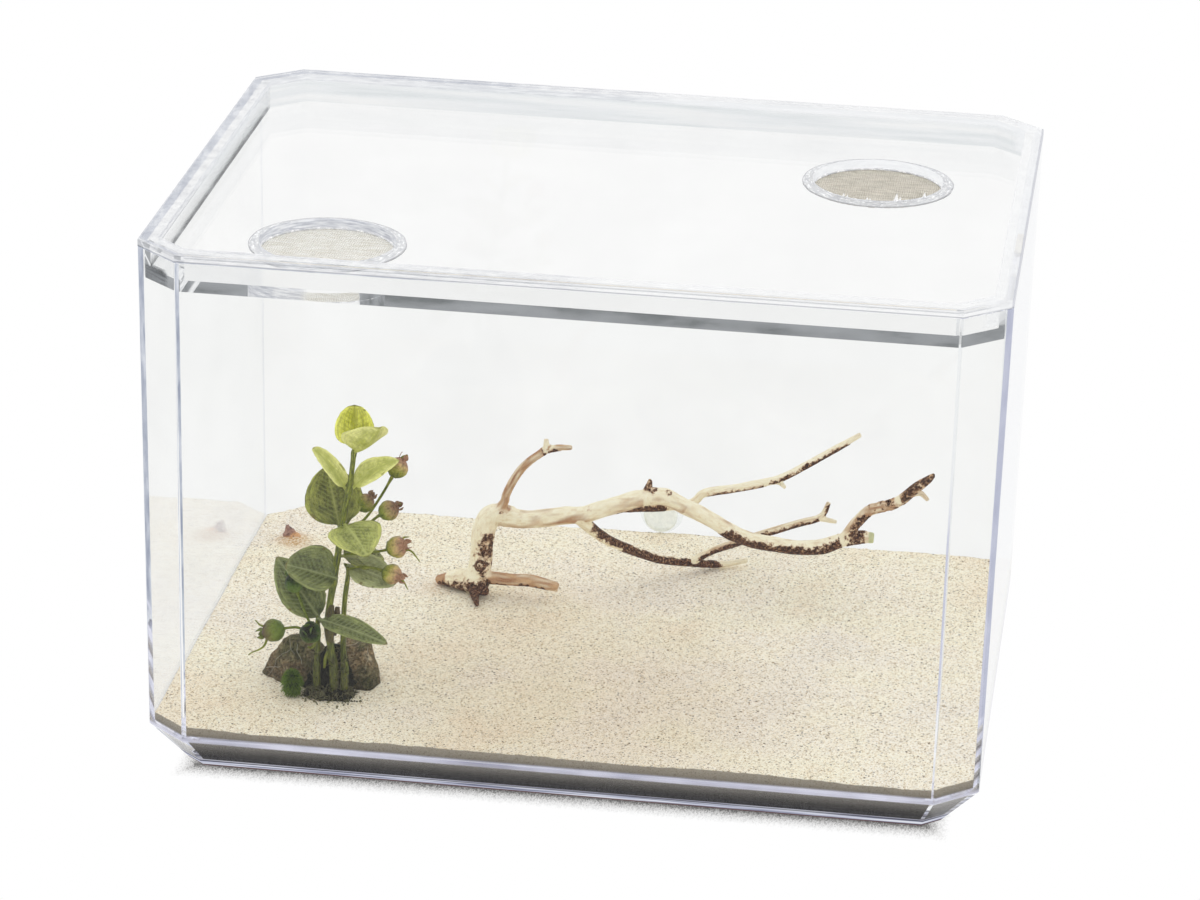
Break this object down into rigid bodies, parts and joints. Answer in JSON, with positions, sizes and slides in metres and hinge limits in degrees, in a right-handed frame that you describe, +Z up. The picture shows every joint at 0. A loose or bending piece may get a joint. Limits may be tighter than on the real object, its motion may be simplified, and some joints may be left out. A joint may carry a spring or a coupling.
{
  "type": "ant foraging area",
  "caption": "Clear lidded display tank with screened vents, a plugged tube port, a sand floor, a driftwood branch and an artificial plant, for ants to forage in.",
  "frame": {"origin": "middle of the tank's underside, on the surface it stands on", "axes": "+X along the long side, +Y towards the back wall with the tube port, +Z up"},
  "size_m": [0.3, 0.2217, 0.198],
  "materials": {
    "clear_tank": "polished clear moulding",
    "clear_lid": "polished clear moulding",
    "woven_steel": "fine woven wire",
    "clear_glue": "hazy dried glue",
    "soft_stopper": "translucent soft plastic",
    "sand": "fine loose grains",
    "driftwood": "weathered, with brown bark patches",
    "bark": "rough bark",
    "rock": "rough mottled",
    "dark_moss": "crumbly",
    "green_moss": "fuzzy",
    "stem_green": "satin moulded",
    "leaf_yellow_green": "satin printed",
    "leaf_grey_green": "satin printed",
    "bud": "satin, mauve at the tips"
  },
  "bodies": {
    "root": {"tank": "clear_tank", "sand_bed": "sand", "bark_chip": "bark"},
    "lid": {"lid": "clear_lid", "vent_glue_ring_left": "clear_glue", "vent_glue_ring_right": "clear_glue", "vent_mesh_left": "woven_steel", "vent_mesh_right": "woven_steel"},
    "plug": {"port_plug": "soft_stopper"},
    "plant": {"bud_left_back": "bud", "bud_low_front": "bud", "bud_low_left": "bud", "bud_lower_right": "bud", "bud_middle_right": "bud", "bud_upper_back": "bud", "bud_upper_middle": "bud", "bud_upper_right": "bud", "leaf_crown_back": "leaf_yellow_green", "leaf_crown_front": "leaf_yellow_green", "leaf_large_left": "leaf_grey_green", "leaf_low_right": "leaf_grey_green", "leaf_lower_left": "leaf_grey_green", "leaf_lower_right": "leaf_grey_green", "leaf_middle_back": "leaf_grey_green", "leaf_middle_left": "leaf_grey_green", "leaf_middle_right": "leaf_yellow_green", "leaf_upper_left": "leaf_yellow_green", "leaf_upper_right": "leaf_yellow_green", "moss_tuft": "green_moss", "plant_base": "dark_moss", "plant_rock": "rock", "stem_main": "stem_green", "stem_second": "stem_green", "stem_third": "stem_green"},
    "driftwood": {"driftwood": "driftwood"}
  },
  "joints": [
    {"name": "lid_lift", "type": "slide", "parent": "root", "child": "lid", "axis": [0, 0, 1], "range_m": [0, 0.06]},
    {"name": "plug_pull", "type": "slide", "parent": "root", "child": "plug", "axis": [0, 1, 0], "range_m": [0, 0.02]},
    {"name": "plant_lift", "type": "slide", "parent": "root", "child": "plant", "axis": [0, 0, 1], "range_m": [0, 0.045]},
    {"name": "driftwood_lift", "type": "slide", "parent": "root", "child": "driftwood", "axis": [0, 0, 1], "range_m": [0, 0.08]}
  ]
}
